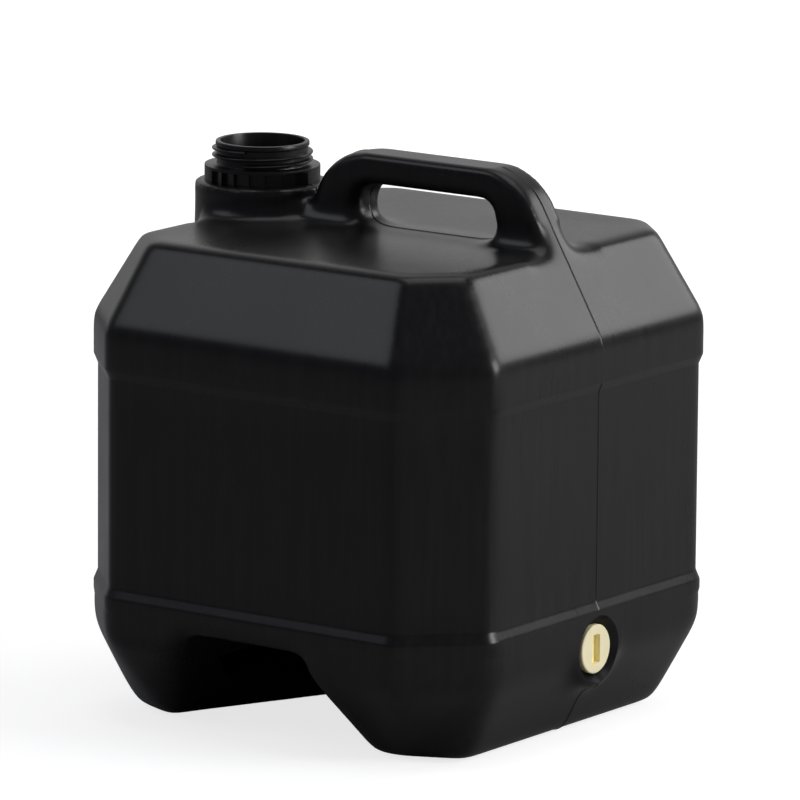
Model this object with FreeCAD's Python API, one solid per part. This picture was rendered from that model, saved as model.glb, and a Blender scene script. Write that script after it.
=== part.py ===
import FreeCAD, Part
import math
import os

# Twenty-litre blow-moulded drum with a moulded grip, a ratchet neck and a screwed drain bung.
# Units are millimetres.  +Z is up.  The origin is on the floor, under the middle of the body.
# +X points along the grip, from the neck towards the bung.  The mould halves part on the plane Y = 0.

V = FreeCAD.Vector

# ---- body ----------------------------------------------------------------------------------
BODY_LENGTH = 280.0          # along X, over the proud bands
BODY_WIDTH = 288.0           # along Y, over the proud bands
WALL = 2.2                   # blown wall, the same everywhere
CORNER_CUT = 41.0            # length that each corner face takes off the two sides beside it
CORNER_ROUND = 14.0          # round where a corner face meets a side
BAND_PROUD = 2.4             # how far the two bands stand out from the panel between them
LEDGE_RISE = 4.5             # height of the sloped ledge at the edge of a band

LOWER_SLOPE_TOP = 50.0       # height where the lower slopes begin
LOWER_BAND_TOP = 75.9        # middle of the lower ledge
UPPER_BAND_BOTTOM = 201.3    # middle of the upper ledge
SHOULDER_BOTTOM = 227.0      # height where the shoulders begin
DECK_HEIGHT = 274.8          # flat top of the body

SHOULDER_INSET_X = 28.0      # how far each shoulder runs in before it meets the deck
SHOULDER_INSET_Y = 26.5
DECK_CORNER_CUT = 24.0
FOOT_INSET_X = 25.0          # how far each lower slope runs in before it meets the floor
FOOT_INSET_Y = 36.0
FOOT_CORNER_CUT_X = 33.0    # the corner faces take more off the sides along X down here
FOOT_CORNER_CUT_Y = 15.0

DECK_EDGE_REACH = 7.0        # length of face that each rounded horizontal edge takes up
SHOULDER_EDGE_REACH = 7.0
SLOPE_EDGE_REACH = 8.0
FOOT_EDGE_REACH = 8.0
LEDGE_EDGE_REACH = 1.2
EDGE_STEPS = 3
EDGE_PICK = 0.01             # an edge this near to a height or a plane lies in it

# ---- stacking recess under the body, which runs along Y and is narrowest in the middle ------
RECESS_CENTRE_X = -4.0
RECESS_HEIGHT = 58.0
RECESS_MOUTH_ROOF = 84.0     # width of the roof at the two side faces
RECESS_MOUTH_FLOOR = 168.0   # width at the floor at the two side faces
RECESS_WAIST_ROOF = 36.0     # width of the roof half way through
RECESS_WAIST_FLOOR = 50.0
RECESS_ROUND = 13.0
RECESS_LOWER_ROUND = 1.6      # round where the recess runs out below the feet

# ---- neck ----------------------------------------------------------------------------------
NECK_X = -97.0
BOSS_RADIUS = 38.5
BOSS_DRAFT = 1.2             # the boss is this much wider at its foot than at its top
BOSS_TOP = 293.6
BOSS_EDGE = 2.2
MOUTH_RADIUS = 24.1
NECK_ROOT_RADIUS = 26.2
LIP_RADIUS = 26.9
LIP_HEIGHT = 2.4
LIP_EDGE = 0.7
NECK_TOP = 316.3
THREAD_CREST_RADIUS = 29.0   # 58 mm neck finish
THREAD_PITCH = 4.0
THREAD_TURNS = 2.0
THREAD_WIDTH = 2.6
THREAD_CREST_WIDTH = 0.9
THREAD_ROOT_OVERLAP = 0.4     # a thread ridge starts this far inside its root
THREAD_START_ANGLE = -75.0

COLLAR_RADIUS = 33.2
COLLAR_TOP = 302.7
TOOTH_TOP = 301.1
TOOTH_DEPTH = 2.1
TEETH_PER_SIDE = 7
TOOTH_ANGLE = 16.0
FIRST_TOOTH_ANGLE = -114.0
TOOTH_FACE_SHARE = 0.18      # part of each tooth's pitch that is its undercut gap

# ---- grip ----------------------------------------------------------------------------------
GRIP_WIDTH = 26.0
GRIP_TOP = 318.4
GRIP_ROUND = 7.6
GRIP_HEIGHT = 17.0           # from the underside of the bar to its top
GAP_BACK_X = -21.5           # finger gap, end nearest the neck
GAP_FRONT_X = 73.0
GAP_FLOOR_LIFT = 0.9         # the floor of the finger gap stands this much above the deck
GAP_ROUND = 11.0
SADDLE_TOP = 284.3           # the low web between the boss and the grip
SADDLE_END_X = -56.0
SADDLE_ROUND = 10.0
GRIP_BACK_X = -41.0          # corner of the grip over the saddle, before rounding
GRIP_BACK_ROUND = 45.0
GRIP_FRONT_ROUND = 40.0
GRIP_ROOT_DEPTH = 22.0       # how far the grip form runs down into the body

# ---- drain socket and bung -----------------------------------------------------------------
BUNG_HEIGHT = 51.0
DISH_DEPTH = 6.9
DISH_WALL = 2.4
DISH_BOSS_FLARE = 4.0        # extra radius of the outside boss at its root
DISH_BOSS_LENGTH = 24.0
SOCKET_LENGTH = 15.0
SOCKET_CUT_OVERLAP = 1.0      # the bore is cut this far past the socket
SOCKET_WALL = 3.4
BUNG_THREAD_RADIUS = 12.6    # crest radius of the bung's thread
BUNG_THREAD_HEIGHT = 1.2
BUNG_ROOT_RADIUS = BUNG_THREAD_RADIUS - BUNG_THREAD_HEIGHT
BUNG_PITCH = 2.4
BUNG_THREAD_WIDTH = 1.5
BUNG_THREAD_CREST_WIDTH = 0.5
BUNG_SHANK_LENGTH = 13.0
BUNG_THREAD_TURNS = 3.5
BUNG_THREAD_RUNOUT = 1.6     # plain shank between the washer and the first turn
BUNG_HEAD_OVERHANG = 1.4      # the head reaches this far past the thread
BUNG_HEAD_RADIUS = BUNG_THREAD_RADIUS + BUNG_HEAD_OVERHANG
HEAD_SIDE_GAP = 0.6           # room between the head and the dish at its floor
DISH_FLARE = 4.9              # the dish widens this much from its floor to its rim
DISH_FLOOR_RADIUS = BUNG_HEAD_RADIUS + HEAD_SIDE_GAP
DISH_RIM_RADIUS = DISH_FLOOR_RADIUS + DISH_FLARE
BUNG_HEAD_THICKNESS = 3.0
BUNG_HEAD_EDGE = 0.5
BUNG_SHANK_WALL = 2.8
BUNG_BORE_RADIUS = BUNG_ROOT_RADIUS - BUNG_SHANK_WALL
BUNG_WEB = 2.6               # solid left under the key slot
KEY_SLOT_LENGTH = 17.0
KEY_SLOT_WIDTH = 7.6
KEY_SLOT_DEPTH = 3.4
THREAD_CLEARANCE = 0.3       # radial gap between the bung and the socket
GROOVE_TURNS = 1.5           # the socket's groove is cut in lengths of this many turns
GROOVE_OVERLAP = 0.1
WASHER_THICKNESS = 1.6
WASHER_RIM_GAP = 0.5         # the washer's edge stays this far inside the bung's head
SEAT_GAP = 0.15              # gap on each face of the washer

HALF_LENGTH = BODY_LENGTH / 2
HALF_WIDTH = BODY_WIDTH / 2


def rounded_wire(corners, radius):
    """Closed wire through flat corners, each one replaced by a tangent arc of the given radius."""
    edges = []
    count = len(corners)
    starts, middles, ends = [], [], []
    for index in range(count):
        corner = corners[index]
        back = (corners[index - 1] - corner).normalize()
        ahead = (corners[(index + 1) % count] - corner).normalize()
        own_radius = radius[index] if isinstance(radius, list) else radius
        half_angle = back.getAngle(ahead) / 2
        reach = own_radius / math.tan(half_angle)
        bisector = (back + ahead).normalize()
        starts.append(corner + back * reach)
        ends.append(corner + ahead * reach)
        middles.append(corner + bisector * (own_radius / math.sin(half_angle) - own_radius))
    for index in range(count):
        following = (index + 1) % count
        edges.append(Part.Arc(starts[index], middles[index], ends[index]).toShape())
        edges.append(Part.makeLine(ends[index], starts[following]))
    return Part.Wire(edges)


def octagon(station):
    """Level section of the body: a rectangle with its corners cut off and rounded."""
    height, half_x, half_y, cut_x, cut_y = station
    corners = []
    for side_x, side_y in ((1, -1), (1, 1), (-1, 1), (-1, -1)):
        near_x = V(side_x * (half_x - cut_x), side_y * half_y, height)
        near_y = V(side_x * half_x, side_y * (half_y - cut_y), height)
        corners += [near_x, near_y] if side_x * side_y < 0 else [near_y, near_x]
    return rounded_wire(corners, CORNER_ROUND)


def mix(first, second, share):
    return [a + (b - a) * share for a, b in zip(first, second)]


def rounded_stations(stations, reaches):
    """Replace each inner station by a short curve that touches the two slopes beside it."""
    result = [stations[0]]
    for index, reach in enumerate(reaches, start=1):
        here, before, after = stations[index], stations[index - 1], stations[index + 1]
        start = mix(here, before, reach / slope_length(here, before))
        end = mix(here, after, reach / slope_length(here, after))
        for step in range(EDGE_STEPS + 1):
            share = step / EDGE_STEPS
            result.append(mix(mix(start, here, share), mix(here, end, share), share))
    return result[1:]


def slope_length(first, second):
    rise = second[0] - first[0]
    return math.hypot(rise, max(abs(second[1] - first[1]), abs(second[2] - first[2])))


def body_form(skin):
    """The body without neck, grip or recess, shrunk by skin on every face."""
    half_x, half_y = HALF_LENGTH - skin, HALF_WIDTH - skin
    shoulder_turn = math.atan2(SHOULDER_INSET_X, DECK_HEIGHT - SHOULDER_BOTTOM)
    deck_shrink = skin * math.tan((math.pi / 2 - shoulder_turn) / 2)
    foot_turn = math.atan2(FOOT_INSET_X, LOWER_SLOPE_TOP)
    foot_shrink = skin * math.tan((math.pi / 2 - foot_turn) / 2)
    deck = [DECK_HEIGHT - skin, HALF_LENGTH - SHOULDER_INSET_X - deck_shrink,
            HALF_WIDTH - SHOULDER_INSET_Y - deck_shrink, DECK_CORNER_CUT, DECK_CORNER_CUT]
    foot = [skin, HALF_LENGTH - FOOT_INSET_X - foot_shrink,
            HALF_WIDTH - FOOT_INSET_Y - foot_shrink, FOOT_CORNER_CUT_X, FOOT_CORNER_CUT_Y]
    inward = 2 * max(DECK_EDGE_REACH, FOOT_EDGE_REACH)
    panel_x, panel_y = half_x - BAND_PROUD, half_y - BAND_PROUD
    stations = [
        [foot[0], foot[1] - inward, foot[2] - inward, FOOT_CORNER_CUT_X, FOOT_CORNER_CUT_Y],
        foot,
        [LOWER_SLOPE_TOP, half_x, half_y, CORNER_CUT, CORNER_CUT],
        [LOWER_BAND_TOP - LEDGE_RISE / 2, half_x, half_y, CORNER_CUT, CORNER_CUT],
        [LOWER_BAND_TOP + LEDGE_RISE / 2, panel_x, panel_y, CORNER_CUT, CORNER_CUT],
        [UPPER_BAND_BOTTOM - LEDGE_RISE / 2, panel_x, panel_y, CORNER_CUT, CORNER_CUT],
        [UPPER_BAND_BOTTOM + LEDGE_RISE / 2, half_x, half_y, CORNER_CUT, CORNER_CUT],
        [SHOULDER_BOTTOM, half_x, half_y, CORNER_CUT, CORNER_CUT],
        deck,
        [deck[0], deck[1] - inward, deck[2] - inward, DECK_CORNER_CUT, DECK_CORNER_CUT],
    ]
    reaches = [FOOT_EDGE_REACH, SLOPE_EDGE_REACH, LEDGE_EDGE_REACH, LEDGE_EDGE_REACH,
               LEDGE_EDGE_REACH, LEDGE_EDGE_REACH, SHOULDER_EDGE_REACH, DECK_EDGE_REACH]
    wires = [octagon(station) for station in rounded_stations(stations, reaches)]
    return Part.makeLoft(wires, True, True)


def recess_section(y, roof_width, floor_width, skin):
    """Section of the stacking recess, carried on below the floor so that it cuts cleanly."""
    roof = RECESS_HEIGHT + skin
    side_slope = (floor_width - roof_width) / 2 / RECESS_HEIGHT
    widen = skin * math.hypot(1, side_slope)
    below = -RECESS_ROUND
    roof_half = roof_width / 2 + widen - skin * side_slope
    floor_half = floor_width / 2 + widen - below * side_slope
    corners = [
        V(RECESS_CENTRE_X - floor_half, y, below),
        V(RECESS_CENTRE_X - roof_half, y, roof),
        V(RECESS_CENTRE_X + roof_half, y, roof),
        V(RECESS_CENTRE_X + floor_half, y, below),
    ]
    return rounded_wire(corners, [RECESS_LOWER_ROUND, RECESS_ROUND, RECESS_ROUND, RECESS_LOWER_ROUND])


def recess_form(skin):
    waist = recess_section(0, RECESS_WAIST_ROOF, RECESS_WAIST_FLOOR, skin)
    halves = []
    for y in (-HALF_WIDTH, HALF_WIDTH):
        mouth = recess_section(y, RECESS_MOUTH_ROOF, RECESS_MOUTH_FLOOR, skin)
        halves.append(Part.makeLoft([mouth, waist], True, True))
    return halves[0].fuse(halves[1]).removeSplitter()


def revolved(outline, centre, axis):
    """Turn a closed outline of points about an axis through centre."""
    wire = Part.makePolygon(outline + [outline[0]])
    return Part.Face(wire).revolve(centre, axis, 360)


def boss_form(skin):
    """Round boss under the neck.  It runs down past the shoulder, into the body."""
    root = SHOULDER_BOTTOM
    top = BOSS_TOP - skin
    boss = Part.makeCone(BOSS_RADIUS + BOSS_DRAFT - skin, BOSS_RADIUS - skin, top - root,
                         V(NECK_X, 0, root), V(0, 0, 1))
    rim = [edge for edge in boss.Edges if edge.BoundBox.ZMin > top - EDGE_PICK]
    return boss.makeFillet(BOSS_EDGE, rim)


def grip_form(skin):
    """Bar, posts and saddle web in one upright plate with the finger gap cut through it."""
    shoulder_run = SHOULDER_INSET_X / (DECK_HEIGHT - SHOULDER_BOTTOM)
    deck_edge_x = HALF_LENGTH - SHOULDER_INSET_X
    root = DECK_HEIGHT - GRIP_ROOT_DEPTH
    corners = [
        V(NECK_X, 0, root),
        V(NECK_X, 0, SADDLE_TOP),
        V(SADDLE_END_X, 0, SADDLE_TOP),
        V(GRIP_BACK_X, 0, GRIP_TOP),
        V(deck_edge_x - (GRIP_TOP - DECK_HEIGHT) * shoulder_run, 0, GRIP_TOP),
        V(deck_edge_x + GRIP_ROOT_DEPTH * shoulder_run, 0, root),
    ]
    rounds = [SADDLE_ROUND, SADDLE_ROUND, SADDLE_ROUND, GRIP_BACK_ROUND, GRIP_FRONT_ROUND, SADDLE_ROUND]
    outside = rounded_wire(corners, rounds)
    gap_floor = DECK_HEIGHT + GAP_FLOOR_LIFT
    gap_roof = GRIP_TOP - GRIP_HEIGHT
    gap = rounded_wire([V(GAP_BACK_X, 0, gap_floor), V(GAP_BACK_X, 0, gap_roof),
                        V(GAP_FRONT_X, 0, gap_roof), V(GAP_FRONT_X, 0, gap_floor)], GAP_ROUND)
    if skin:
        outside = outside.makeOffset2D(-skin)
        gap = gap.makeOffset2D(skin)
    width = GRIP_WIDTH - 2 * skin
    outer_plate = Part.Face(outside).extrude(V(0, width, 0))
    gap_plug = Part.Face(gap).extrude(V(0, width, 0))
    plate = outer_plate.cut(gap_plug)
    plate.translate(V(0, -width / 2, 0))
    sides = [edge for edge in plate.Edges if edge.BoundBox.YLength < EDGE_PICK]
    return plate.makeFillet(GRIP_ROUND - skin, sides)


def thread_ridge(root_radius, crest_radius, pitch, turns, width, crest_width):
    """Trapezoid ridge wound round +Z, from height 0, starting at angle 0."""
    helix = Part.makeHelix(pitch, pitch * turns, root_radius)
    sunk = root_radius - THREAD_ROOT_OVERLAP
    profile = Part.makePolygon([V(sunk, 0, -width / 2), V(crest_radius, 0, -crest_width / 2),
                                V(crest_radius, 0, crest_width / 2), V(sunk, 0, width / 2),
                                V(sunk, 0, -width / 2)])
    return Part.Wire(helix).makePipeShell([profile], True, True)


def neck_form():
    """Solid neck: root cylinder, lip and thread."""
    base = BOSS_TOP - WALL
    plain_top = NECK_TOP - LIP_HEIGHT
    outline = [
        V(0, 0, base),
        V(NECK_ROOT_RADIUS, 0, base),
        V(NECK_ROOT_RADIUS, 0, plain_top - (LIP_RADIUS - NECK_ROOT_RADIUS)),
        V(LIP_RADIUS, 0, plain_top),
        V(LIP_RADIUS, 0, NECK_TOP - LIP_EDGE),
        V(LIP_RADIUS - LIP_EDGE, 0, NECK_TOP),
        V(0, 0, NECK_TOP),
    ]
    neck = revolved(outline, V(0, 0, 0), V(0, 0, 1))
    ridge = thread_ridge(NECK_ROOT_RADIUS, THREAD_CREST_RADIUS, THREAD_PITCH, THREAD_TURNS,
                         THREAD_WIDTH, THREAD_CREST_WIDTH)
    ridge.rotate(V(0, 0, 0), V(0, 0, 1), THREAD_START_ANGLE)
    ridge.translate(V(0, 0, plain_top - THREAD_WIDTH / 2 - THREAD_PITCH * THREAD_TURNS))
    neck = neck.fuse(ridge)
    neck.translate(V(NECK_X, 0, 0))
    return neck


def collar_form():
    """Ring under the thread with ratchet teeth facing the two mould halves."""
    base = BOSS_TOP - WALL
    ring = Part.makeCylinder(COLLAR_RADIUS, COLLAR_TOP - base, V(0, 0, base))
    for side in (0, 180):
        for number in range(TEETH_PER_SIDE):
            start = FIRST_TOOTH_ANGLE + side + number * TOOTH_ANGLE
            ring = ring.cut(tooth_pocket(start))
    ring.translate(V(NECK_X, 0, 0))
    return ring


def tooth_pocket(start_angle):
    """Space in front of one ratchet tooth: a ramp that ends in an upright undercut."""
    def on_circle(radius, share):
        angle = math.radians(start_angle + TOOTH_ANGLE * share)
        return V(radius * math.cos(angle), radius * math.sin(angle), BOSS_TOP)
    clear = COLLAR_RADIUS + TOOTH_DEPTH
    inner = COLLAR_RADIUS - TOOTH_DEPTH
    corners = [on_circle(inner, 0), on_circle(clear, 0), on_circle(clear, 1),
               on_circle(COLLAR_RADIUS, 1), on_circle(inner, TOOTH_FACE_SHARE)]
    face = Part.Face(Part.makePolygon(corners + [corners[0]]))
    return face.extrude(V(0, 0, TOOTH_TOP - BOSS_TOP))


def along_bung(shape):
    """Place a shape built round +Z so that +Z points out of the drain socket, along +X."""
    shape.rotate(V(0, 0, 0), V(0, 1, 0), 90)
    shape.translate(V(HALF_LENGTH, 0, BUNG_HEIGHT))
    return shape


def dish_boss():
    """Outside boss that carries the dish where the lower slope falls away."""
    rim = DISH_RIM_RADIUS + DISH_WALL
    return along_bung(Part.makeCone(rim + DISH_BOSS_FLARE, rim, DISH_BOSS_LENGTH, V(0, 0, -DISH_BOSS_LENGTH)))


def socket_block():
    """Material kept inside the body behind the dish and round the socket."""
    back = DISH_DEPTH + DISH_WALL
    plate = Part.makeCylinder(DISH_RIM_RADIUS + DISH_WALL, back, V(0, 0, -back))
    sleeve_length = DISH_DEPTH + SOCKET_LENGTH
    sleeve = Part.makeCylinder(BUNG_THREAD_RADIUS + SOCKET_WALL, sleeve_length, V(0, 0, -sleeve_length))
    return along_bung(plate.fuse(sleeve))


def bung_thread():
    """The bung's own thread.  Its first turn starts at angle 0, deepest in the socket."""
    ridge = thread_ridge(BUNG_ROOT_RADIUS, BUNG_THREAD_RADIUS, BUNG_PITCH, BUNG_THREAD_TURNS,
                         BUNG_THREAD_WIDTH, BUNG_THREAD_CREST_WIDTH)
    ridge.translate(V(0, 0, first_turn_depth()))
    return ridge


def thread_grooves():
    """Groove that the bung's thread runs in, from below its first turn to the floor of the dish.

    It comes in short lengths that overlap a little, one after another up the same helix.
    """
    gap = THREAD_CLEARANCE
    start = first_turn_depth() - BUNG_PITCH
    turns = (-DISH_DEPTH - start) / BUNG_PITCH
    lengths = []
    for number in range(math.ceil(turns / GROOVE_TURNS)):
        turned = number * GROOVE_TURNS
        groove = thread_ridge(BUNG_ROOT_RADIUS + gap, BUNG_THREAD_RADIUS + gap, BUNG_PITCH,
                              GROOVE_TURNS + GROOVE_OVERLAP, BUNG_THREAD_WIDTH + 2 * gap,
                              BUNG_THREAD_CREST_WIDTH + 2 * gap)
        groove.rotate(V(0, 0, 0), V(0, 0, 1), 360 * turned)
        groove.translate(V(0, 0, start + BUNG_PITCH * turned))
        lengths.append(along_bung(groove))
    return lengths


def first_turn_depth():
    return washer_seat() - BUNG_THREAD_RUNOUT - BUNG_PITCH * BUNG_THREAD_TURNS


def washer_seat():
    """Depth of the washer's under face, measured outwards from the side face."""
    return -DISH_DEPTH + SEAT_GAP


def socket_space():
    """Everything cut away for the dish and the bore."""
    dish = Part.makeCone(DISH_FLOOR_RADIUS, DISH_RIM_RADIUS, DISH_DEPTH, V(0, 0, -DISH_DEPTH))
    length = SOCKET_LENGTH + SOCKET_CUT_OVERLAP
    bore = Part.makeCylinder(BUNG_ROOT_RADIUS + THREAD_CLEARANCE, length, V(0, 0, -DISH_DEPTH - length))
    return along_bung(dish.fuse(bore))


def container_shell():
    outside = body_form(0).cut(recess_form(0))
    outside = outside.fuse([boss_form(0), grip_form(0), dish_boss(), collar_form(), neck_form()])
    hollow = body_form(WALL).cut(recess_form(WALL))
    hollow = hollow.fuse([boss_form(WALL), grip_form(WALL)])
    hollow = hollow.cut(socket_block())
    mouth_length = NECK_TOP - BOSS_TOP + 2 * WALL
    mouth = Part.makeCylinder(MOUTH_RADIUS, mouth_length, V(NECK_X, 0, NECK_TOP - mouth_length))
    shell = outside.cut(hollow).cut(mouth).cut(socket_space())
    for groove in thread_grooves():
        shell = shell.cut(groove)
    return shell


def drain_bung():
    head_base = washer_seat() + WASHER_THICKNESS + SEAT_GAP
    head = Part.makeCylinder(BUNG_HEAD_RADIUS, BUNG_HEAD_THICKNESS, V(0, 0, head_base))
    head_top = head_base + BUNG_HEAD_THICKNESS
    rim = [edge for edge in head.Edges if edge.BoundBox.ZMin > head_top - EDGE_PICK]
    head = head.makeChamfer(BUNG_HEAD_EDGE, rim)
    shank = Part.makeCylinder(BUNG_ROOT_RADIUS, BUNG_SHANK_LENGTH, V(0, 0, head_base - BUNG_SHANK_LENGTH))
    bung = head.fuse([shank, bung_thread()])
    slot_floor = head_top - KEY_SLOT_DEPTH
    core_top = slot_floor - BUNG_WEB
    core_base = head_base - BUNG_SHANK_LENGTH
    core = Part.makeCylinder(BUNG_BORE_RADIUS, core_top - core_base, V(0, 0, core_base))
    slot_round = Part.makeCylinder(KEY_SLOT_LENGTH / 2, KEY_SLOT_DEPTH, V(0, 0, slot_floor))
    slot_bar = Part.makeBox(KEY_SLOT_LENGTH, KEY_SLOT_WIDTH, KEY_SLOT_DEPTH,
                            V(-KEY_SLOT_LENGTH / 2, -KEY_SLOT_WIDTH / 2, slot_floor))
    return along_bung(bung.cut(core).cut(slot_round.common(slot_bar)))


def bung_seal():
    outer = Part.makeCylinder(BUNG_HEAD_RADIUS - WASHER_RIM_GAP, WASHER_THICKNESS, V(0, 0, washer_seat()))
    hole = Part.makeCylinder(BUNG_ROOT_RADIUS + SEAT_GAP, WASHER_THICKNESS, V(0, 0, washer_seat()))
    return along_bung(outer.cut(hole))


os.makedirs("parts", exist_ok=True)
for node in (container_shell, drain_bung, bung_seal):
    shape = node()
    shape.exportStep("parts/" + node.__name__ + ".step")
    box = shape.BoundBox
    print(node.__name__, "solids", len(shape.Solids), "valid", shape.isValid(),
          "volume", round(shape.Volume), "box", round(box.XMin, 1), round(box.XMax, 1),
          round(box.YMin, 1), round(box.YMax, 1), round(box.ZMin, 1), round(box.ZMax, 1))
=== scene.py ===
# %% [markdown]
# # A blow-moulded drum with a drain bung
#
# This lesson dresses a finished CAD model of a black plastic drum. The drum is one hollow
# moulding: a body with cut corners, two proud bands, a grip, a screw neck and a dish for a
# cream drain bung. We load the CAD model as a fixed frame, model the soft moulded shell
# around it, give every surface its own plastic, and light it on a pale floor.

# %% Load the frame
import math

import bmesh
import bpy
from mathutils import Matrix, Vector


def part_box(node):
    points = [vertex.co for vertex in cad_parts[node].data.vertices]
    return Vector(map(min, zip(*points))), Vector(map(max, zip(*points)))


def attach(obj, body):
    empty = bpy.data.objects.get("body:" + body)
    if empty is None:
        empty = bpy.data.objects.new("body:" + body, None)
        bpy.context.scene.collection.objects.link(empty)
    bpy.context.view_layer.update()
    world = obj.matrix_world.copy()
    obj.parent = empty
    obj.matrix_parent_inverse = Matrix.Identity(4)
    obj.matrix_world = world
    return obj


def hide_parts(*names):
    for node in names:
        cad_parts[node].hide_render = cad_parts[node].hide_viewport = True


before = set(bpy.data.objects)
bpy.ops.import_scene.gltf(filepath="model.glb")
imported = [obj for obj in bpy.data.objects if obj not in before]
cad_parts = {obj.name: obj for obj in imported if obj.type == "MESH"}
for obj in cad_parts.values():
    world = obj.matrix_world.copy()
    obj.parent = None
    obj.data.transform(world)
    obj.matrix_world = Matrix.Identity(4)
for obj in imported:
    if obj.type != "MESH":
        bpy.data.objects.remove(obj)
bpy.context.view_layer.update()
scene = bpy.context.scene
MM = 0.001

# %% [markdown]
# ## The camera and the plain stage
#
# A product picture is taken from far away with a long lens, so that upright edges stay nearly
# parallel. We place the camera on a circle round the object by two angles, and aim it at a
# point on the drum's axis. A small roll finishes the framing.

# %% Camera
CAMERA_AZIMUTH = 35.64
CAMERA_ELEVATION = 11.36
CAMERA_ROLL = -0.46
CAMERA_DISTANCE = 4.552
CAMERA_SIDE = 0.0009
CAMERA_AIM_HEIGHT = 0.1765
LENS_PER_FRAME = 10.016      # focal length in frame widths

azimuth, elevation = math.radians(CAMERA_AZIMUTH), math.radians(CAMERA_ELEVATION)
towards = Vector((math.sin(azimuth) * math.cos(elevation),
                  -math.cos(azimuth) * math.cos(elevation), math.sin(elevation)))
aim = Vector((math.cos(azimuth), math.sin(azimuth), 0)) * CAMERA_SIDE + Vector((0, 0, CAMERA_AIM_HEIGHT))
camera = bpy.data.objects.new("camera", bpy.data.cameras.new("camera"))
scene.collection.objects.link(camera)
camera.data.sensor_width = 36.0
camera.data.lens = 36.0 * LENS_PER_FRAME
camera.data.clip_end = 50
camera.rotation_mode = "QUATERNION"
camera.rotation_quaternion = (towards.to_track_quat("Z", "Y")
                              @ Matrix.Rotation(math.radians(-CAMERA_ROLL), 3, "Z").to_quaternion())
camera.location = aim + towards * CAMERA_DISTANCE
scene.camera = camera
scene.view_settings.view_transform = "Standard"
print("camera at", [round(v, 3) for v in camera.location])

# %% [markdown]
# ## Shader maths in plain Python
#
# Node materials are easier to read as sums than as wires. The small class below wraps a
# socket and turns + and * into Math nodes. Its one method `node` makes any other node
# from its type, its settings and the values or links of its inputs.

# %% A socket that does sums
class Wire:
    """One output socket of a node tree."""

    def __init__(self, tree, socket):
        self.tree = tree
        self.socket = socket

    def node(self, kind, settings=None, inputs=None, output=0):
        made = self.tree.nodes.new(kind)
        for name, value in (settings or {}).items():
            setattr(made, name, value)
        for name, value in (inputs or {}).items():
            if isinstance(value, Wire):
                self.tree.links.new(value.socket, made.inputs[name])
            else:
                made.inputs[name].default_value = value
        return Wire(self.tree, made.outputs[output])

    def maths(self, operation, *values):
        return self.node("ShaderNodeMath", {"operation": operation}, dict(enumerate(values)))

    def __add__(self, other):
        return self.maths("ADD", self, other)

    def __mul__(self, other):
        return self.maths("MULTIPLY", self, other)

    __radd__ = __add__
    __rmul__ = __mul__

    def clamp(self):
        return self.node("ShaderNodeClamp", inputs={"Value": self})

    def band(self, low, high):
        """0 below low, 1 above high, and a smooth rise between them."""
        return self.node("ShaderNodeMapRange", {"interpolation_type": "SMOOTHSTEP"},
                         {"Value": self, "From Min": low, "From Max": high})

    def tint(self, first, second):
        """A colour that runs from first to second as this value runs from 0 to 1."""
        return self.node("ShaderNodeMix", {"data_type": "RGBA"}, {0: self, 6: first, 7: second}, output=2)


print("shader sums are ready")

# %% A new material and its starting wires
def new_material(name, **constants):
    """A material whose fixed values are set on its shader, with its object coordinates."""
    material = bpy.data.materials.new(name)
    material.use_nodes = True
    tree = material.node_tree
    shader = tree.nodes["Principled BSDF"]
    for socket, value in constants.items():
        shader.inputs[socket.replace("_", " ")].default_value = value
    start = Wire(tree, None)
    place = start.node("ShaderNodeTexCoord", output=3)
    return material, shader, place


def feed(shader, name, wire):
    wire.tree.links.new(wire.socket, shader.inputs[name])


print("materials start from object coordinates")

# %% [markdown]
# ## Floor, background and lamps
#
# Glossy black plastic is mostly a picture of the room around it, so the room is what we
# light. The floor is one large grey sheet, with a glow that the camera sees and reflections
# don't, so that it looks white. The camera sees a white world too. Reflections see a grey
# room, brighter behind the drum and dim in front of it, which keeps the near walls dark while
# the deck mirrors the brighter far side.
# Four soft area lamps do the rest: one at the back right that the sloping shoulder mirrors,
# one at the right for the cream bung, one high at the front left and one overhead.

# %% Floor
FLOOR_SIZE = 16.0
FLOOR_DROP = 0.0005                  # keeps the sheet just clear of the feet
PAPER_LIFT = 0.76                    # the glow under the drum
LIFT_START, LIFT_END = 0.45, 2.4     # between these distances the glow rises to 1
mesh = bmesh.new()
bmesh.ops.create_grid(mesh, x_segments=8, y_segments=8, size=FLOOR_SIZE / 2)
floor_data = bpy.data.meshes.new("studio_floor")
mesh.to_mesh(floor_data)
mesh.free()
floor = bpy.data.objects.new("studio_floor", floor_data)
scene.collection.objects.link(floor)
floor.location.z = -FLOOR_DROP
paint, shader, place = new_material("studio_paper", Base_Color=(0.38, 0.38, 0.385, 1), Roughness=0.95,
                                    Specular_IOR_Level=0.0, Emission_Strength=1.0)
rays = place.node("ShaderNodeLightPath")
rays_node = rays.socket.node
seen = (Wire(rays.tree, rays_node.outputs["Is Camera Ray"])
        + Wire(rays.tree, rays_node.outputs["Is Transmission Ray"])).clamp()
reach = place.node("ShaderNodeVectorMath", {"operation": "LENGTH"}, {0: place}, output=1)
lift = reach.band(LIFT_START, LIFT_END).tint((PAPER_LIFT, PAPER_LIFT, PAPER_LIFT, 1), (1, 1, 1, 1))
feed(shader, "Emission Color", seen.tint((0, 0, 0, 1), lift))
floor_data.materials.append(paint)
print("floor", FLOOR_SIZE, "m wide")

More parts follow.
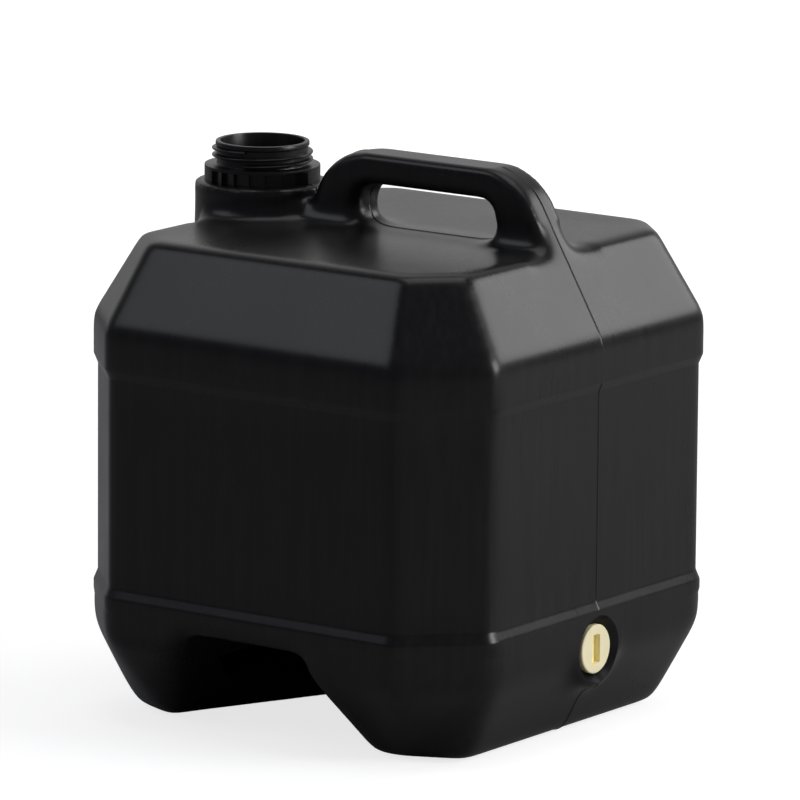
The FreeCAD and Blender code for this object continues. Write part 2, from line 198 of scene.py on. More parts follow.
# %% World
away = Vector((-towards.x, -towards.y, 0)).normalized()
ROOM_DIM, ROOM_BRIGHT = 0.14, 0.62
ROOM_BLUE = 1.15                     # the dim side is a little blue
world = bpy.data.worlds.new("studio_world")
world.use_nodes = True
scene.world = world
sky = world.node_tree.nodes["Background"]
sky.inputs["Strength"].default_value = 1.0
ray = Wire(world.node_tree, None).node("ShaderNodeTexCoord", output=0)
facing = ray.node("ShaderNodeVectorMath", {"operation": "DOT_PRODUCT"}, {0: ray, 1: away}, output=1)
path = ray.node("ShaderNodeLightPath")
behind = facing.band(0.25, 0.95)
room = behind.tint((ROOM_DIM, ROOM_DIM, ROOM_DIM * ROOM_BLUE, 1), (ROOM_BRIGHT, ROOM_BRIGHT, ROOM_BRIGHT, 1))
shown = path.tint(room, (1, 1, 1, 1))
world.node_tree.links.new(shown.socket, sky.inputs["Color"])
print("the camera sees white, and reflections see", ROOM_BRIGHT, "behind the drum and", ROOM_DIM, "in front")

# %% Lamps
LAMP_AIM = Vector((0, 0, 0.15))


def soft_lamp(name, place, size, watts, colour=(1, 1, 1)):
    data = bpy.data.lights.new(name, "AREA")
    data.shape = "RECTANGLE"
    data.size, data.size_y = size
    data.energy = watts
    data.color = colour
    lamp = bpy.data.objects.new(name, data)
    lamp.location = place
    lamp.rotation_mode = "QUATERNION"
    lamp.rotation_quaternion = (Vector(place) - LAMP_AIM).to_track_quat("Z", "Y")
    scene.collection.objects.link(lamp)


soft_lamp("back_right_box", (1.1, 2.0, 1.25), (1.3, 0.9), 17)
soft_lamp("right_box", (2.7, 0.9, 1.2), (1.4, 1.4), 66)
soft_lamp("front_left_box", (-1.6, -1.8, 2.2), (1.6, 1.6), 15, (0.93, 0.96, 1.0))
soft_lamp("top_box", (0.2, 0.3, 3.0), (2.4, 2.4), 30)

# %% [markdown]
# ## Black moulded plastic
#
# The shell is black polyethylene straight from the mould: satin, not mirror smooth. Flow
# leaves faint upright streaks, the mould gives a very fine grain, and handling leaves pale
# dull scuffs. The streaks stretch a noise along Z; the scuffs raise colour and roughness
# together, so they read as worn and not as paint.

# %% Moulded black
def moulded_black(name):
    material, shader, place = new_material(name, Specular_IOR_Level=0.27)
    flow = place.node("ShaderNodeMapping", inputs={"Vector": place, "Scale": (1.0, 1.0, 0.06)})
    streak = flow.node("ShaderNodeTexNoise", inputs={"Vector": flow, "Scale": 260.0, "Detail": 3.0})
    cloud = place.node("ShaderNodeTexNoise", inputs={"Vector": place, "Scale": 14.0, "Detail": 4.0})
    grain = place.node("ShaderNodeTexNoise", inputs={"Vector": place, "Scale": 2600.0, "Detail": 2.0})
    scuff = place.node("ShaderNodeTexNoise", inputs={"Vector": place, "Scale": 75.0, "Detail": 9.0,
                                                      "Roughness": 0.72})
    worn = scuff.band(0.62, 0.78) * cloud.band(0.45, 0.62)
    feed(shader, "Base Color", (worn * 0.5 + streak.band(0.35, 0.75) * 0.35)
         .tint((0.0042, 0.0042, 0.0047, 1), (0.0125, 0.0123, 0.0120, 1)))
    feed(shader, "Roughness", 0.21 + cloud * 0.10 + worn * 0.18 + streak * 0.06)
    height = streak * 0.5 + grain * 0.35 + cloud * 0.8
    bump = height.node("ShaderNodeBump", inputs={"Strength": 0.10, "Distance": 0.0006, "Height": height})
    feed(shader, "Normal", bump)
    return material


black = moulded_black("moulded_black")
print("made", black.name)

# %% [markdown]
# ## Cream plastic and the soft washer
#
# The bung is a natural, slightly yellow polyethylene. Inside the key slot its colour holds painted
# bounce light: a deeper and lighter yellow than the cream, which follows the depth along X.

# %% Bung and washer finishes
SLOT_BOUNCE_DEEP, SLOT_BOUNCE_SHALLOW = 0.0036, 0.0006     # depths behind the bung's face over which the painted bounce light runs from deep yellow to cream


def bung_cream_painted_bounce(name, face_x):
    material, shader, place = new_material(name, Specular_IOR_Level=0.4, Subsurface_Weight=0.06,
                                           Subsurface_Scale=0.002)
    depth = place.node("ShaderNodeSeparateXYZ", inputs={0: place})
    mottle = place.node("ShaderNodeTexNoise", inputs={"Vector": place, "Scale": 180.0, "Detail": 4.0})
    grain = place.node("ShaderNodeTexNoise", inputs={"Vector": place, "Scale": 1500.0, "Detail": 2.0})
    painted_bounce_fade = depth.band(face_x - SLOT_BOUNCE_DEEP, face_x - SLOT_BOUNCE_SHALLOW)
    cream = mottle.tint((0.76, 0.69, 0.44, 1), (0.81, 0.745, 0.50, 1))
    # the deep yellow is painted bounce light, lighter than the cream itself, and fades out towards the face
    feed(shader, "Base Color", painted_bounce_fade.tint((1.0, 0.88, 0.42, 1), cream))
    feed(shader, "Roughness", 0.36 + mottle * 0.16)
    bump = grain.node("ShaderNodeBump", inputs={"Strength": 0.15, "Distance": 0.0003,
                                                "Height": grain + mottle})
    feed(shader, "Normal", bump)
    return material


def washer_rubber(name):
    material, shader, place = new_material(name, Specular_IOR_Level=0.3)
    mottle = place.node("ShaderNodeTexNoise", inputs={"Vector": place, "Scale": 300.0, "Detail": 4.0})
    feed(shader, "Base Color", mottle.tint((0.30, 0.29, 0.27, 1), (0.38, 0.37, 0.34, 1)))
    feed(shader, "Roughness", 0.55 + mottle * 0.2)
    bump = mottle.node("ShaderNodeBump", inputs={"Strength": 0.2, "Distance": 0.0002, "Height": mottle})
    feed(shader, "Normal", bump)
    return material


def refinish(node, material):
    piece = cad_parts[node]
    piece.data.materials.clear()
    piece.data.materials.append(material)


bung_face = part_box("drain_bung")[1].x
refinish("drain_bung", bung_cream_painted_bounce("bung_cream_painted_bounce", bung_face))
refinish("bung_seal", washer_rubber("washer_rubber"))
refinish("container_shell", black)
print("bung face at x", round(bung_face, 4))

# %% [markdown]
# ## The drum's forms
#
# The real shell is blown into a mould, so every corner and every join is soft, outside and
# inside. Joining hard forms and bevelling the joins would be fragile. Instead we stack plain
# forms, let a voxel remesh weld them into one skin, and then relax that skin: a few rounds of
# smoothing turn edges into rounds and joins into fillets, as hot plastic would.

# %% Driving sizes, in millimetres
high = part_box("container_shell")[1] / MM
HALF_LENGTH, HALF_WIDTH = high.x, high.y
GRIP_TOP = high.z
CORNER_CUT = 41.0
SHOULDER_BOTTOM, DECK_HEIGHT = 227.0, 274.8
SHOULDER_INSET_X, SHOULDER_INSET_Y, DECK_CORNER_CUT = 28.0, 26.5, 24.0
SLOPE_TOP, FOOT_INSET_X, FOOT_INSET_Y = 50.0, 25.0, 36.0
FOOT_CUT_X, FOOT_CUT_Y = 33.0, 15.0
BAND_PROUD, LEDGE_RISE = 2.4, 4.5
LOWER_LEDGE, UPPER_LEDGE = 75.9, 201.3
CROWN_CUT, FOOT_CUT = 213.0, 65.0        # plain wall heights where the crown and foot end
TRIM_SPARE = 12                          # wall beyond each of them, which the trim takes off
print("drum", 2 * HALF_LENGTH, "by", 2 * HALF_WIDTH, "by", round(GRIP_TOP, 1), "mm")


# %% One level, and a stack of levels
def level_corners(z, half_x, half_y, cut_x, cut_y):
    """The eight corners of a rectangle with its corners cut off."""
    near_x, near_y = half_x - cut_x, half_y - cut_y
    return [(half_x, -near_y, z), (half_x, near_y, z), (near_x, half_y, z), (-near_x, half_y, z),
            (-half_x, near_y, z), (-half_x, -near_y, z), (-near_x, -half_y, z), (near_x, -half_y, z)]


def stack(mesh, sections):
    """Join closed sections one after another into a closed form."""
    loops = []
    for corners in sections:
        points = [mesh.verts.new(corner) for corner in corners]
        loops.append([mesh.edges.new((points[i - 1], points[i])) for i in range(len(points))])
    for first, second in zip(loops, loops[1:]):
        bmesh.ops.bridge_loops(mesh, edges=first + second)
    for end in (loops[0], loops[-1]):
        bmesh.ops.contextual_create(mesh, geom=end)
    bmesh.ops.recalc_face_normals(mesh, faces=mesh.faces)


def merge(mesh, added):
    """Add one bmesh to another. The added one is used up."""
    data = bpy.data.meshes.new("merge")
    added.to_mesh(data)
    added.free()
    mesh.from_mesh(data)
    bpy.data.meshes.remove(data)


def as_object(mesh, name, scale=1.0):
    """Turn a bmesh into an object, at the origin and unscaled."""
    bmesh.ops.scale(mesh, vec=(scale, scale, scale), verts=mesh.verts)
    data = bpy.data.meshes.new(name)
    mesh.to_mesh(data)
    mesh.free()
    made = bpy.data.objects.new(name, data)
    scene.collection.objects.link(made)
    return made


def finished(piece):
    """The mesh that a piece's modifiers give, as a new bmesh. The piece itself is removed."""
    graph = bpy.context.evaluated_depsgraph_get()
    data = bpy.data.meshes.new_from_object(piece.evaluated_get(graph))
    mesh = bmesh.new()
    mesh.from_mesh(data)
    bpy.data.objects.remove(piece)
    bpy.data.meshes.remove(data)
    return mesh


def cone_object(name, sides, first_radius, second_radius, depth, matrix):
    form = bmesh.new()
    bmesh.ops.create_cone(form, cap_ends=True, segments=sides, radius1=first_radius,
                          radius2=second_radius, depth=depth, matrix=matrix)
    return as_object(form, name)


def carve(piece, cutter):
    modifier = piece.modifiers.new("carve", "BOOLEAN")
    modifier.object = cutter
    modifier.operation = "DIFFERENCE"
    modifier.solver = "EXACT"


def welded(piece, voxel):
    modifier = piece.modifiers.new("weld", "REMESH")
    modifier.mode = "VOXEL"
    modifier.voxel_size = voxel
    return finished(piece)


def relax(mesh, rounds, where=lambda point: True):
    """Smooth the points that pass a test, a number of times."""
    points = [point for point in mesh.verts if where(point.co)]
    for _ in range(rounds):
        bmesh.ops.smooth_vert(mesh, verts=points, factor=0.5,
                              use_axis_x=True, use_axis_y=True, use_axis_z=True)


def extruded(mesh, edges):
    """Extrude a loop of edges on the spot, and return its new points and edges."""
    grown = bmesh.ops.extrude_edge_only(mesh, edges=edges)["geom"]
    points = [item for item in grown if isinstance(item, bmesh.types.BMVert)]
    return points, [item for item in grown if isinstance(item, bmesh.types.BMEdge)]


def dressed(piece, sharp_degrees):
    """Shade a piece smooth between its sharp edges, in the black plastic."""
    for face in piece.data.polygons:
        face.use_smooth = True
    piece.data.set_sharp_from_angle(angle=math.radians(sharp_degrees))
    piece.data.materials.append(black)


print("form helpers are ready")

# %% [markdown]
# ## The grip
#
# The grip, its two posts and the low web towards the neck are one upright plate with a finger
# gap. We draw its outline with a few corner points, round each corner with a vertex bevel,
# give it width, cut the gap, and bevel both sides until the bar is a soft tube.

# %% Grip plate
NECK_X = -97.0
SADDLE_TOP, SADDLE_END_X = 284.3, -56.0
GRIP_BACK_X, GRIP_WIDTH, GRIP_HEIGHT, GRIP_ROUND = -41.0, 26.6, 17.6, 7.8
GAP_BACK_X, GAP_FRONT_X, GAP_FLOOR = -21.5, 73.0, 275.7
GRIP_ROOT = 22.0
GRIP_SPARE = 0.4             # height that the relaxing and the last clamp take off
shoulder_run = SHOULDER_INSET_X / (DECK_HEIGHT - SHOULDER_BOTTOM)
deck_edge_x = HALF_LENGTH - SHOULDER_INSET_X


def upright_plate(outline, width):
    """A plate in the XZ plane. The outline gives x, z and how far its round reaches."""
    mesh = bmesh.new()
    points = [mesh.verts.new((x, -width / 2, z)) for x, z, reach in outline]
    mesh.faces.new(points)
    for point, (x, z, reach) in zip(points, outline):
        if reach:
            bmesh.ops.bevel(mesh, geom=[point], offset=reach, segments=8, profile=0.5,
                            affect="VERTICES", material=-1)
    side = bmesh.ops.extrude_face_region(mesh, geom=list(mesh.faces))
    moved = [item for item in side["geom"] if isinstance(item, bmesh.types.BMVert)]
    bmesh.ops.translate(mesh, vec=(0, width, 0), verts=moved)
    bmesh.ops.recalc_face_normals(mesh, faces=mesh.faces)
    return mesh


plate_top = GRIP_TOP + GRIP_SPARE
grip_plate = as_object(upright_plate([
    (NECK_X, DECK_HEIGHT - GRIP_ROOT, 0), (NECK_X, SADDLE_TOP, 0), (SADDLE_END_X, SADDLE_TOP, 5),
    (GRIP_BACK_X, plate_top, 22),
    (deck_edge_x - (GRIP_TOP - DECK_HEIGHT) * shoulder_run, plate_top, 21),
    (deck_edge_x + GRIP_ROOT * shoulder_run, DECK_HEIGHT - GRIP_ROOT, 0)], GRIP_WIDTH), "grip_plate")
gap_roof = plate_top - GRIP_HEIGHT
gap_cutter = as_object(upright_plate([
    (GAP_BACK_X, GAP_FLOOR, 10), (GAP_BACK_X, gap_roof, 11), (GAP_FRONT_X, gap_roof, 10),
    (GAP_FRONT_X, GAP_FLOOR, 10)], 3 * GRIP_WIDTH), "gap_cutter")
carve(grip_plate, gap_cutter)
grip = finished(grip_plate)
bpy.data.objects.remove(gap_cutter)
rims = [edge for edge in grip.edges if len(edge.link_faces) == 2
        and (abs(edge.link_faces[0].normal.y) > 0.9) != (abs(edge.link_faces[1].normal.y) > 0.9)]
bmesh.ops.bevel(grip, geom=rims, offset=GRIP_ROUND, segments=6, profile=0.5, affect="EDGES",
                material=-1, clamp_overlap=True)
print("grip faces", len(grip.faces), "rounded edges", len(rims))

# %% [markdown]
# ## The crown
#
# Shoulders, deck, the round boss under the neck and the grip meet here. All of them go into
# one mesh, still as separate overlapping forms, and the remesh welds them. Relaxing then works
# in zones: more rounds at the foot of the boss and the grip, where the fillets are widest,
# and few on the grip itself, which must not grow thin.

# %% Crown
BOSS_RADIUS, BOSS_TOP, BOSS_TAPER, BOSS_SINK = 38.5, 293.6, 1.2, 10
CROWN_VOXEL = 1.9
# Rounds of relaxing: the whole skin, all but boss top and bar, the joins, the web, a last pass.
SKIN_ROUNDS, BODY_ROUNDS, JOIN_ROUNDS, WEB_ROUNDS, LAST_ROUNDS = 3, 15, 26, 16, 4
RIM_DEPTH, RIM_REACH = 6, 2              # below and beyond the boss's top edge, which stays crisp
BAR_RISE, BAR_CLEAR = 14, 3              # above the deck, and away from the boss
JOIN_DEPTH, JOIN_RISE, JOIN_HALF_WIDTH, JOIN_REACH = 16, 15, 34, 16
WEB_BEHIND, WEB_AHEAD = 8, 2
crown_form = bmesh.new()
stack(crown_form, [
    level_corners(CROWN_CUT - TRIM_SPARE, HALF_LENGTH, HALF_WIDTH, CORNER_CUT, CORNER_CUT),
    level_corners(SHOULDER_BOTTOM, HALF_LENGTH, HALF_WIDTH, CORNER_CUT, CORNER_CUT),
    level_corners(DECK_HEIGHT, HALF_LENGTH - SHOULDER_INSET_X, HALF_WIDTH - SHOULDER_INSET_Y,
                  DECK_CORNER_CUT, DECK_CORNER_CUT)])
boss_root = SHOULDER_BOTTOM + BOSS_SINK
bmesh.ops.create_cone(crown_form, cap_ends=True, segments=96, radius1=BOSS_RADIUS + BOSS_TAPER,
                      radius2=BOSS_RADIUS, depth=BOSS_TOP - boss_root,
                      matrix=Matrix.Translation((NECK_X, 0, (BOSS_TOP + boss_root) / 2)))
merge(crown_form, grip)
crown = welded(as_object(crown_form, "crown_form"), CROWN_VOXEL)


def from_boss(point):
    return math.hypot(point.x - NECK_X, point.y)


def on_boss_top(point):
    return point.z > BOSS_TOP - RIM_DEPTH and from_boss(point) < BOSS_RADIUS + RIM_REACH


def on_bar(point):
    return point.z > DECK_HEIGHT + BAR_RISE and from_boss(point) > BOSS_RADIUS + BAR_CLEAR


def at_joins(point):
    low_zone = DECK_HEIGHT - JOIN_DEPTH < point.z < DECK_HEIGHT + JOIN_RISE
    near = abs(point.y) < JOIN_HALF_WIDTH or from_boss(point) < BOSS_RADIUS + JOIN_REACH
    return low_zone and near and not on_boss_top(point)


def at_web(point):
    """Where the low web swells into the back post of the grip."""
    along = SADDLE_END_X - WEB_BEHIND < point.x < GAP_BACK_X + WEB_AHEAD
    return along and abs(point.y) < GRIP_WIDTH and point.z > DECK_HEIGHT and not on_boss_top(point)


relax(crown, SKIN_ROUNDS)
relax(crown, BODY_ROUNDS, lambda point: not on_boss_top(point) and not on_bar(point))
relax(crown, JOIN_ROUNDS, at_joins)
relax(crown, WEB_ROUNDS, at_web)
relax(crown, LAST_ROUNDS, lambda point: not on_boss_top(point))
print("crown points", len(crown.verts))

# %% [markdown]
# ## The foot
#
# The lower walls slope in to the feet, and a recess runs across underneath, narrow in the
# middle and wide at both sides, so that drums stack over each other's grips. A round boss
# carries the dish for the bung.

# %% Foot
RECESS_X, RECESS_ROOF = -4.0, 58.0
WAIST_ROOF, WAIST_FLOOR, MOUTH_ROOF, MOUTH_FLOOR = 36.0, 50.0, 84.0, 168.0
RECESS_BELOW, RECESS_OVERRUN = -12.0, 20     # how far the cutter runs past the feet and sides
BUNG_HEIGHT, DISH_RADIUS, DISH_FLOOR, DISH_DEPTH = 51.0, 19.5, 14.6, 6.9
DISH_BOSS_ROOT, DISH_BOSS_FACE = 6.4, 2.4    # wall of the round boss, at its root and its face
DISH_BOSS_DEPTH, DISH_BOSS_CENTRE = 24, 12.05
DISH_KEEP_DEPTH, DISH_KEEP_REACH = 30, 3     # the boss is relaxed less than the walls
FOOT_VOXEL = 2.3
FOOT_SKIN_ROUNDS, FOOT_WALL_ROUNDS = 4, 34


def recess_corners(y, grow=0.0):
    """Section of the recess at y, carried on below the feet."""
    share = abs(y) / HALF_WIDTH
    roof = (WAIST_ROOF + (MOUTH_ROOF - WAIST_ROOF) * share) / 2 + grow
    floor_half = (WAIST_FLOOR + (MOUTH_FLOOR - WAIST_FLOOR) * share) / 2 + grow
    wide = floor_half - RECESS_BELOW * (floor_half - roof) / RECESS_ROOF
    return [(RECESS_X - wide, y, RECESS_BELOW), (RECESS_X - roof, y, RECESS_ROOF + grow),
            (RECESS_X + roof, y, RECESS_ROOF + grow), (RECESS_X + wide, y, RECESS_BELOW)]


def recess_cutter(grow=0.0):
    cutter = bmesh.new()
    far_side = HALF_WIDTH + RECESS_OVERRUN
    stack(cutter, [recess_corners(y, grow) for y in (-far_side, 0, far_side)])
    return as_object(cutter, "recess_cutter")


def on_bung_axis(x):
    """A frame on the bung's axis whose +Z points along +X."""
    return Matrix.Translation((x, 0, BUNG_HEIGHT)) @ Matrix.Rotation(math.pi / 2, 4, "Y")


foot_form = bmesh.new()
stack(foot_form, [
    level_corners(0, HALF_LENGTH - FOOT_INSET_X, HALF_WIDTH - FOOT_INSET_Y, FOOT_CUT_X, FOOT_CUT_Y),
    level_corners(SLOPE_TOP, HALF_LENGTH, HALF_WIDTH, CORNER_CUT, CORNER_CUT),
    level_corners(FOOT_CUT + TRIM_SPARE, HALF_LENGTH, HALF_WIDTH, CORNER_CUT, CORNER_CUT)])
foot_object = as_object(foot_form, "foot_form")
cutter = recess_cutter()
carve(foot_object, cutter)
foot_form = finished(foot_object)
bpy.data.objects.remove(cutter)
bmesh.ops.create_cone(foot_form, cap_ends=True, segments=96, radius1=DISH_RADIUS + DISH_BOSS_ROOT,
                      radius2=DISH_RADIUS + DISH_BOSS_FACE, depth=DISH_BOSS_DEPTH,
                      matrix=on_bung_axis(HALF_LENGTH - DISH_BOSS_CENTRE))
foot = welded(as_object(foot_form, "foot_form"), FOOT_VOXEL)


def near_dish(point):
    from_axis = math.hypot(point.y, point.z - BUNG_HEIGHT)
    return point.x > HALF_LENGTH - DISH_KEEP_DEPTH and from_axis < DISH_RADIUS + DISH_KEEP_REACH


relax(foot, FOOT_SKIN_ROUNDS)
relax(foot, FOOT_WALL_ROUNDS, lambda point: not near_dish(point))
print("foot points", len(foot.verts))

# %% [markdown]
# ## The belt between them
#
# The walls between crown and foot are plain but for two ledges, so they need no remesh. We
# trim the crown on a plain stretch of wall and extrude its open edge down, level by level.
# Each column of points remembers its own outward direction, which lets a ledge step in evenly
# round the corners. A last bridge joins the belt to the trimmed foot.


# %% Trim, extrude the belt, and bridge
PANEL_HEIGHTS = (180, 160, 138.6, 117, 97)
BRIDGE_RISE = 3              # height of the last strip, which joins the belt to the foot
CUT_SNAP, LEVEL_SNAP = 0.0001, 0.01


def whole(mesh):
    return list(mesh.verts) + list(mesh.edges) + list(mesh.faces)


def trim(mesh, height, keep_above):
    bmesh.ops.bisect_plane(mesh, geom=whole(mesh), plane_co=(0, 0, height), plane_no=(0, 0, 1),
                           dist=CUT_SNAP, clear_outer=not keep_above, clear_inner=keep_above)


def open_edges(mesh, height):
    return [edge for edge in mesh.edges if edge.is_boundary
            and all(abs(point.co.z - height) < LEVEL_SNAP for point in edge.verts)]


def ledge_levels(middle):
    """Heights and shares of one ledge, from the proud side to the inner side, going down."""
    half = LEDGE_RISE / 2
    return [(half + 1.1, 0.0), (half + 0.3, 0.05), (half - 0.6, 0.22), (-half + 0.6, 0.78),
            (-half - 0.3, 0.95), (-half - 1.1, 1.0)]


levels = [(UPPER_LEDGE + rise, share) for rise, share in ledge_levels(UPPER_LEDGE)]
levels += [(height, 1.0) for height in PANEL_HEIGHTS]
levels += [(LOWER_LEDGE - rise, share) for rise, share in reversed(ledge_levels(LOWER_LEDGE))]
levels += [(FOOT_CUT + BRIDGE_RISE, 0.0)]

trim(crown, CROWN_CUT, True)
trim(foot, FOOT_CUT, False)
crown.normal_update()
column = crown.verts.layers.int.new("column")
rim = open_edges(crown, CROWN_CUT)
rim_points = list({point for edge in rim for point in edge.verts})
starts = []
for number, point in enumerate(rim_points):
    point[column] = number
    outward = Vector((point.normal.x, point.normal.y)).normalized()
    starts.append((point.co.copy(), outward))
edges = rim
for height, share in levels:
    points, edges = extruded(crown, edges)
    for point in points:
        start, outward = starts[point[column]]
        inset = outward * BAND_PROUD * share
        point.co = (start.x - inset.x, start.y - inset.y, height)
merge(crown, foot)
bmesh.ops.bridge_loops(crown, edges=open_edges(crown, FOOT_CUT) + open_edges(crown, FOOT_CUT + BRIDGE_RISE))
bmesh.ops.recalc_face_normals(crown, faces=crown.faces)
print("open edges left", sum(edge.is_boundary for edge in crown.edges), "faces", len(crown.faces))

# %% [markdown]
# ## The parting line
#
# The two mould halves meet on the plane Y = 0 and leave a thin raised line. Three cuts close
# together give the skin points to lift, and the middle ones move out a little. Where the skin
# already touches the box of the CAD model, the clamp in the next cell flattens the line again.

# %% Raise the parting line
SEAM_HALF_WIDTH, SEAM_HEIGHT = 0.75, 0.45
SEAM_SNAP, SEAM_PICK = 0.05, 0.06
for side in (-SEAM_HALF_WIDTH, 0.0, SEAM_HALF_WIDTH):
    bmesh.ops.bisect_plane(crown, geom=whole(crown), plane_co=(0, side, 0), plane_no=(0, 1, 0),
                           dist=SEAM_SNAP)
crown.normal_update()
seam = [point for point in crown.verts if abs(point.co.y) < SEAM_PICK]
lifts = [(point, point.normal * SEAM_HEIGHT) for point in seam]
for point, lift in lifts:
    point.co += Vector((lift.x, 0, lift.z))
print("parting line points", len(seam))
drum = as_object(crown, "drum_shell")

# %% [markdown]
# ## The hollow, the mouth and the dish
#
# The drum is hollow and its mouth is open, so we carve a plain inner form and the mouth bore
# out of the skin, then the dish and bore for the bung. Carving comes after relaxing, which
# leaves these edges crisp, as a machined insert in the mould leaves them.

# %% Carve
WALL, MOUTH_RADIUS = 5.0, 24.1
HOLLOW_FOOT_X, HOLLOW_FOOT_Y = 6, 7          # how far the plain inner form stays inside the feet,
HOLLOW_SIDE, HOLLOW_DROP, HOLLOW_DECK = 3, 4, 9      # the walls, the shoulder and the deck
SOCKET_WALL, MOUTH_EASE, MOUTH_CUT_RISE = 9, 0.4, 15
CUTTER_DEPTH = 60
DISH_FLOOR_EASE, DISH_RIM_EASE, DISH_OVERRUN = 0.3, 0.45, 0.8
BORE_RADIUS, BORE_DEPTH, BORE_CENTRE = 13.0, 15.2, 7.5
DRUM_SHARP = 38
inner_x, inner_y = HALF_LENGTH - WALL - HOLLOW_SIDE, HALF_WIDTH - WALL - HOLLOW_SIDE
inner_form = bmesh.new()
stack(inner_form, [
    level_corners(WALL, HALF_LENGTH - FOOT_INSET_X - HOLLOW_FOOT_X,
                  HALF_WIDTH - FOOT_INSET_Y - HOLLOW_FOOT_Y, FOOT_CUT_X, FOOT_CUT_Y),
    level_corners(SLOPE_TOP, inner_x, inner_y, CORNER_CUT, CORNER_CUT),
    level_corners(SHOULDER_BOTTOM - HOLLOW_DROP, inner_x, inner_y, CORNER_CUT, CORNER_CUT),
    level_corners(DECK_HEIGHT - WALL, HALF_LENGTH - SHOULDER_INSET_X - HOLLOW_DECK,
                  HALF_WIDTH - SHOULDER_INSET_Y - HOLLOW_DECK, DECK_CORNER_CUT, DECK_CORNER_CUT)])
inner = as_object(inner_form, "inner_form")
recess_wall = recess_cutter(WALL)
carve(inner, recess_wall)
socket_radius = DISH_RADIUS + SOCKET_WALL
block = cone_object("socket_block", 64, socket_radius, socket_radius, CUTTER_DEPTH, on_bung_axis(HALF_LENGTH))
carve(inner, block)
hollow = as_object(finished(inner), "hollow")
bpy.data.objects.remove(recess_wall)
bpy.data.objects.remove(block)
mouth_cut = MOUTH_RADIUS + MOUTH_EASE
mouth = cone_object("mouth", 128, mouth_cut, mouth_cut, CUTTER_DEPTH,
                    Matrix.Translation((NECK_X, 0, DECK_HEIGHT + MOUTH_CUT_RISE)))
dish = cone_object("dish", 128, DISH_FLOOR - DISH_FLOOR_EASE, DISH_RADIUS + DISH_RIM_EASE,
                   DISH_DEPTH + DISH_OVERRUN, on_bung_axis(HALF_LENGTH - DISH_DEPTH / 2 + DISH_OVERRUN / 2))
bore = cone_object("bore", 96, BORE_RADIUS, BORE_RADIUS, BORE_DEPTH,
                   on_bung_axis(HALF_LENGTH - DISH_DEPTH - BORE_CENTRE))
for tool in (hollow, mouth, dish, bore):
    carve(drum, tool)
drum_mesh = finished(drum)
for tool in (hollow, mouth, dish, bore):
    bpy.data.objects.remove(tool)
for point in drum_mesh.verts:
    point.co.x = min(max(point.co.x, -HALF_LENGTH), HALF_LENGTH)
    point.co.y = min(max(point.co.y, -HALF_WIDTH), HALF_WIDTH)
    point.co.z = min(max(point.co.z, 0), GRIP_TOP)
triangles = sum(len(face.verts) - 2 for face in drum_mesh.faces)
print("drum triangles", triangles, "open edges", sum(edge.is_boundary for edge in drum_mesh.edges))
drum = as_object(drum_mesh, "drum_shell", MM)
dressed(drum, DRUM_SHARP)
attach(drum, "container")
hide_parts("container_shell")

# %% [markdown]
# ## The neck
#
# The neck is round, so it starts as one circle that is extruded from level to level: root,
# ratchet collar, thread wall, lip, and down again inside as the bore. The collar's teeth are a
# change of radius with angle: each tooth ramps out and ends in an upright step that would
# catch a cap's tear-off ring. The thread is a small profile swept round by a spin that climbs.

# %% Neck levels
COLLAR_RADIUS, COLLAR_TOP = 33.2, 302.7
TOOTH_TOP, TOOTH_DEPTH, TOOTH_ANGLE, TEETH = 301.1, 2.1, 16.0, 7
FIRST_TOOTH, TOOTH_FACE = -114.0, 0.18
NECK_RADIUS, LIP_RADIUS, NECK_TOP, LIP_HEIGHT = 26.2, 26.9, 316.3, 2.4
NECK_FOOT = BOSS_TOP - 7
COLLAR_SINK = 2              # how deep the collar starts inside the boss
ROUND, ROUND_MIDDLE = 0.7, 0.2               # reach and middle point of an edge's round
COLLAR_ROUND, COLLAR_ROUND_MIDDLE = 0.4, 0.1
MOUTH_ROUND, MOUTH_ROUND_MIDDLE = 0.6, 0.15
LIP_FLARE = 0.8
COLUMNS = 360


def toothed_radius(degrees):
    """The collar's radius at an angle, with two opposite rows of teeth."""
    inner = COLLAR_RADIUS - TOOTH_DEPTH
    turned = (degrees - FIRST_TOOTH) % 180
    if turned >= TEETH * TOOTH_ANGLE:
        return COLLAR_RADIUS
    share = turned % TOOTH_ANGLE / TOOTH_ANGLE
    return inner + TOOTH_DEPTH * max(0, share - TOOTH_FACE) / (1 - TOOTH_FACE)


plain_top = NECK_TOP - LIP_HEIGHT
collar_foot = BOSS_TOP - COLLAR_SINK
neck_levels = [
    (collar_foot, NECK_RADIUS), (collar_foot, None), (TOOTH_TOP, None), (TOOTH_TOP, COLLAR_RADIUS),
    (COLLAR_TOP - COLLAR_ROUND, COLLAR_RADIUS),
    (COLLAR_TOP - COLLAR_ROUND_MIDDLE, COLLAR_RADIUS - COLLAR_ROUND_MIDDLE),
    (COLLAR_TOP, COLLAR_RADIUS - COLLAR_ROUND), (COLLAR_TOP, NECK_RADIUS + ROUND),
    (COLLAR_TOP + ROUND_MIDDLE, NECK_RADIUS + ROUND_MIDDLE), (COLLAR_TOP + ROUND, NECK_RADIUS),
    (plain_top - LIP_FLARE, NECK_RADIUS), (plain_top, LIP_RADIUS), (NECK_TOP - ROUND, LIP_RADIUS),
    (NECK_TOP - ROUND_MIDDLE, LIP_RADIUS - ROUND_MIDDLE), (NECK_TOP, LIP_RADIUS - ROUND),
    (NECK_TOP, MOUTH_RADIUS + MOUTH_ROUND), (NECK_TOP - ROUND_MIDDLE, MOUTH_RADIUS + MOUTH_ROUND_MIDDLE),
    (NECK_TOP - ROUND, MOUTH_RADIUS), (NECK_FOOT, MOUTH_RADIUS)]
neck = bmesh.new()
first = bmesh.ops.create_circle(neck, cap_ends=False, segments=COLUMNS, radius=NECK_RADIUS)["verts"]
bmesh.ops.translate(neck, vec=(0, 0, NECK_FOOT), verts=first)
edges = list(neck.edges)
first_edges = edges
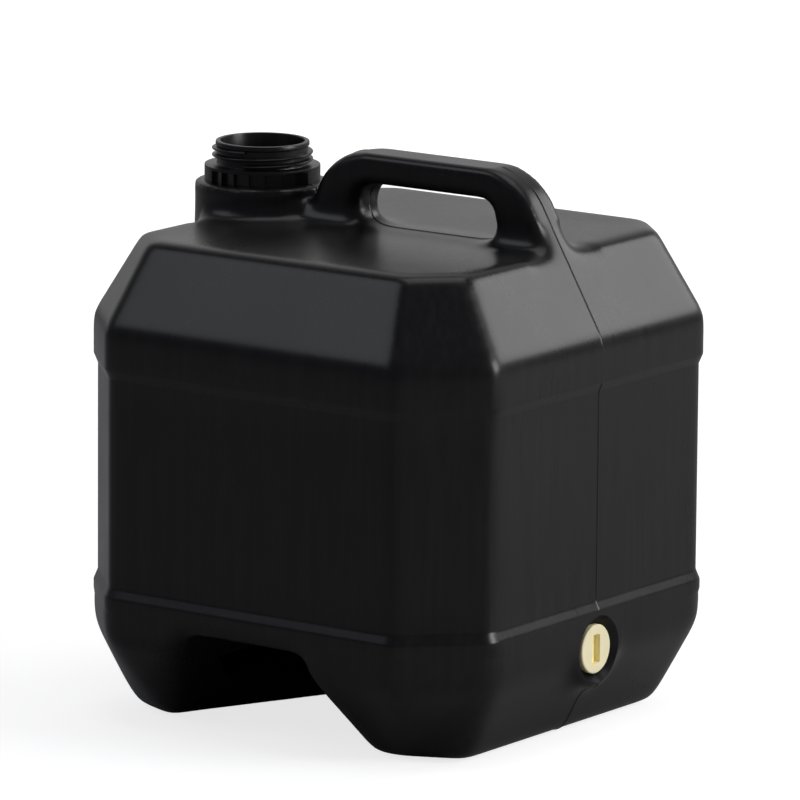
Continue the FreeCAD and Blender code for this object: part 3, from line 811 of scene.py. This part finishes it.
for height, radius in neck_levels:
    points, edges = extruded(neck, edges)
    for point in points:
        angle = math.atan2(point.co.y, point.co.x)
        reach = toothed_radius(math.degrees(angle)) if radius is None else radius
        point.co = (reach * math.cos(angle), reach * math.sin(angle), height)
bmesh.ops.bridge_loops(neck, edges=edges + first_edges)
print("neck faces", len(neck.faces), "open edges", sum(edge.is_boundary for edge in neck.edges))

# %% Thread
THREAD_CREST, THREAD_PITCH, THREAD_TURNS, THREAD_WIDTH, CREST_WIDTH = 29.0, 4.0, 2, 2.6, 0.9
THREAD_STEPS, THREAD_START = 180, -75
THREAD_SINK, CREST_ROUND = 0.4, 0.3
NECK_SHARP = 32
ridge = bmesh.new()
base = NECK_RADIUS - THREAD_SINK
below_crest = [(base, -THREAD_WIDTH / 2), (THREAD_CREST - CREST_ROUND, -CREST_WIDTH / 2 - CREST_ROUND / 2),
               (THREAD_CREST, -CREST_WIDTH / 4)]
profile = below_crest + [(radius, -height) for radius, height in reversed(below_crest)]
points = [ridge.verts.new((radius, 0, height)) for radius, height in profile]
start_face = ridge.faces.new(points)
bmesh.ops.spin(ridge, geom=list(ridge.verts) + list(ridge.edges) + [start_face], cent=(0, 0, 0),
               axis=(0, 0, 1), dvec=(0, 0, THREAD_PITCH * THREAD_TURNS / THREAD_STEPS),
               angle=math.tau * THREAD_TURNS, steps=THREAD_STEPS, use_merge=False,
               use_duplicate=False)
bmesh.ops.recalc_face_normals(ridge, faces=ridge.faces)
bmesh.ops.rotate(ridge, cent=(0, 0, 0), matrix=Matrix.Rotation(math.radians(THREAD_START), 3, "Z"),
                 verts=ridge.verts)
bmesh.ops.translate(ridge, vec=(0, 0, plain_top - THREAD_WIDTH / 2 - THREAD_PITCH * THREAD_TURNS),
                    verts=ridge.verts)
print("thread faces", len(ridge.faces), "open edges", sum(edge.is_boundary for edge in ridge.edges),
      "top", round(max(point.co.z for point in ridge.verts), 1))
merge(neck, ridge)
bmesh.ops.recalc_face_normals(neck, faces=neck.faces)
bmesh.ops.translate(neck, vec=(NECK_X, 0, 0), verts=neck.verts)
neck_piece = as_object(neck, "neck_finish", MM)
dressed(neck_piece, NECK_SHARP)
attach(neck_piece, "container")
